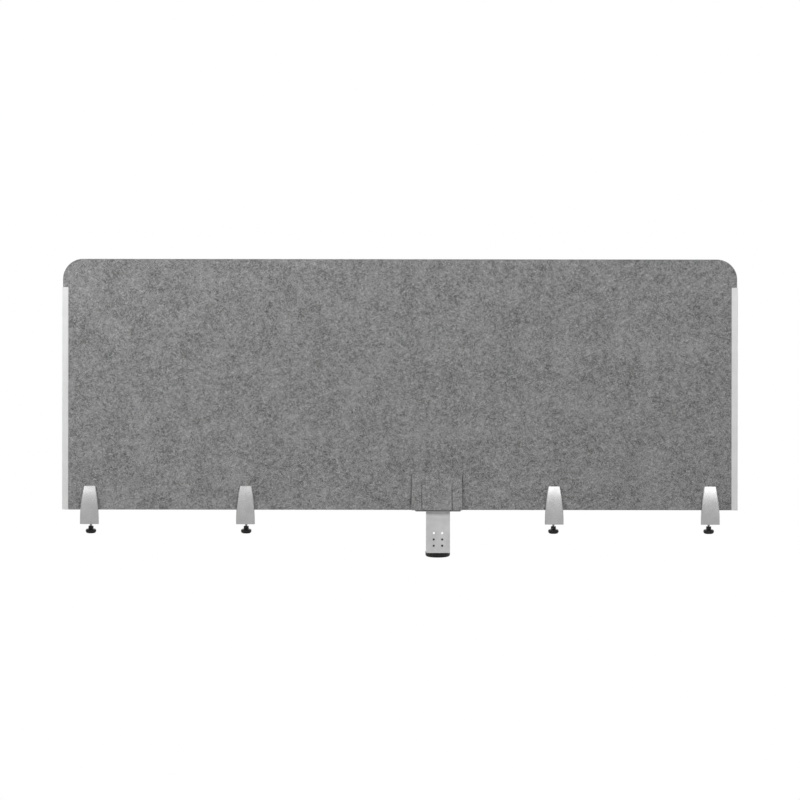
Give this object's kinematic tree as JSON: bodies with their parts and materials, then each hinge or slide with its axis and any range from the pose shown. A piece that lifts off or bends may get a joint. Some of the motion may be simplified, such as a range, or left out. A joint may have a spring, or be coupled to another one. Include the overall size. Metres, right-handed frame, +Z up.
{
  "type": "desk-mounted acoustic divider screen",
  "caption": "Felt acoustic screen that clamps to a desk edge, with rounded top corners, white edge trims, tapered clamps with thumb screws and a flap over a middle bracket.",
  "frame": {"origin": "middle of the screen's length, on the upper front line of the desktop's edge", "axes": "+X along the desk edge to the right as seen from outside, +Y over the desktop, +Z up"},
  "size_m": [1.6028, 0.1036, 0.7095],
  "materials": {
    "felt": "heather grey pressed felt",
    "trim": "satin white",
    "cast": "fine satin die casting",
    "steel": "satin",
    "plate": "fine textured light grey coating",
    "black_plastic": "fine moulded grain",
    "black_rubber": "matt",
    "black_steel": "black oxide"
  },
  "bodies": {
    "screen": {"felt_panel": "felt", "left_edge_trim": "trim", "right_edge_trim": "trim", "clamp_1_body": "cast", "clamp_1_front_pad": "black_rubber", "clamp_1_pressure_plate": "steel", "clamp_1_set_screws": "steel", "clamp_1_desk_pad": "black_rubber", "clamp_2_body": "cast", "clamp_2_front_pad": "black_rubber", "clamp_2_pressure_plate": "steel", "clamp_2_set_screws": "steel", "clamp_2_desk_pad": "black_rubber", "clamp_3_body": "cast", "clamp_3_front_pad": "black_rubber", "clamp_3_pressure_plate": "steel", "clamp_3_set_screws": "steel", "clamp_3_desk_pad": "black_rubber", "clamp_4_body": "cast", "clamp_4_front_pad": "black_rubber", "clamp_4_pressure_plate": "steel", "clamp_4_set_screws": "steel", "clamp_4_desk_pad": "black_rubber", "bracket_plate": "plate", "bracket_foam": "black_rubber", "bracket_jaw": "plate", "bracket_bolts": "black_steel", "bracket_nut": "steel"},
    "outer_flap": {"outer_flap": "felt"},
    "inner_flap": {"inner_flap": "felt"},
    "clamp_1_foot": {"clamp_1_foot": "black_plastic"},
    "clamp_1_screw": {"clamp_1_screw": "steel", "clamp_1_knob": "black_plastic"},
    "clamp_2_foot": {"clamp_2_foot": "black_plastic"},
    "clamp_2_screw": {"clamp_2_screw": "steel", "clamp_2_knob": "black_plastic"},
    "clamp_3_foot": {"clamp_3_foot": "black_plastic"},
    "clamp_3_screw": {"clamp_3_screw": "steel", "clamp_3_knob": "black_plastic"},
    "clamp_4_foot": {"clamp_4_foot": "black_plastic"},
    "clamp_4_screw": {"clamp_4_screw": "steel", "clamp_4_knob": "black_plastic"},
    "bracket_foot": {"bracket_foot": "black_plastic"},
    "bracket_screw": {"bracket_screw": "steel", "bracket_knob": "black_plastic"}
  },
  "joints": [
    {"name": "outer_flap_hinge", "type": "hinge", "parent": "screen", "child": "outer_flap", "pos_m": [0.088, 0.001, 0.0865], "axis": [-1, 0, 0], "range_deg": [0, 60]},
    {"name": "inner_flap_hinge", "type": "hinge", "parent": "outer_flap", "child": "inner_flap", "pos_m": [0.088, -0.00181, 0.06872], "axis": [-1, 0, 0], "range_deg": [0, 45]},
    {"name": "clamp_1_travel", "type": "slide", "parent": "screen", "child": "clamp_1_foot", "axis": [0, 0, 1], "range_m": [-0.0015, 0.007]},
    {"name": "clamp_1_turn", "type": "hinge", "parent": "clamp_1_foot", "child": "clamp_1_screw", "pos_m": [-0.736, 0.024, -0.05], "axis": [0, 0, 1], "range_deg": [-540, 2520]},
    {"name": "clamp_2_travel", "type": "slide", "parent": "screen", "child": "clamp_2_foot", "axis": [0, 0, 1], "range_m": [-0.0015, 0.007]},
    {"name": "clamp_2_turn", "type": "hinge", "parent": "clamp_2_foot", "child": "clamp_2_screw", "pos_m": [-0.366, 0.024, -0.05], "axis": [0, 0, 1], "range_deg": [-540, 2520]},
    {"name": "clamp_3_travel", "type": "slide", "parent": "screen", "child": "clamp_3_foot", "axis": [0, 0, 1], "range_m": [-0.0015, 0.007]},
    {"name": "clamp_3_turn", "type": "hinge", "parent": "clamp_3_foot", "child": "clamp_3_screw", "pos_m": [0.366, 0.024, -0.05], "axis": [0, 0, 1], "range_deg": [-540, 2520]},
    {"name": "clamp_4_travel", "type": "slide", "parent": "screen", "child": "clamp_4_foot", "axis": [0, 0, 1], "range_m": [-0.0015, 0.007]},
    {"name": "clamp_4_turn", "type": "hinge", "parent": "clamp_4_foot", "child": "clamp_4_screw", "pos_m": [0.736, 0.024, -0.05], "axis": [0, 0, 1], "range_deg": [-540, 2520]},
    {"name": "bracket_travel", "type": "slide", "parent": "screen", "child": "bracket_foot", "axis": [0, 0, 1], "range_m": [-0.055, 0.002]},
    {"name": "bracket_turn", "type": "hinge", "parent": "bracket_foot", "child": "bracket_screw", "pos_m": [0.0905, 0.035, -0.05], "axis": [0, 0, 1], "range_deg": [-15840, 576]}
  ],
  "couplings": [
    {"joint": "clamp_1_travel", "follows": "clamp_1_turn", "m_per_rad": 0.00015915},
    {"joint": "clamp_2_travel", "follows": "clamp_2_turn", "m_per_rad": 0.00015915},
    {"joint": "clamp_3_travel", "follows": "clamp_3_turn", "m_per_rad": 0.00015915},
    {"joint": "clamp_4_travel", "follows": "clamp_4_turn", "m_per_rad": 0.00015915},
    {"joint": "bracket_travel", "follows": "bracket_turn", "m_per_rad": 0.00019894}
  ]
}
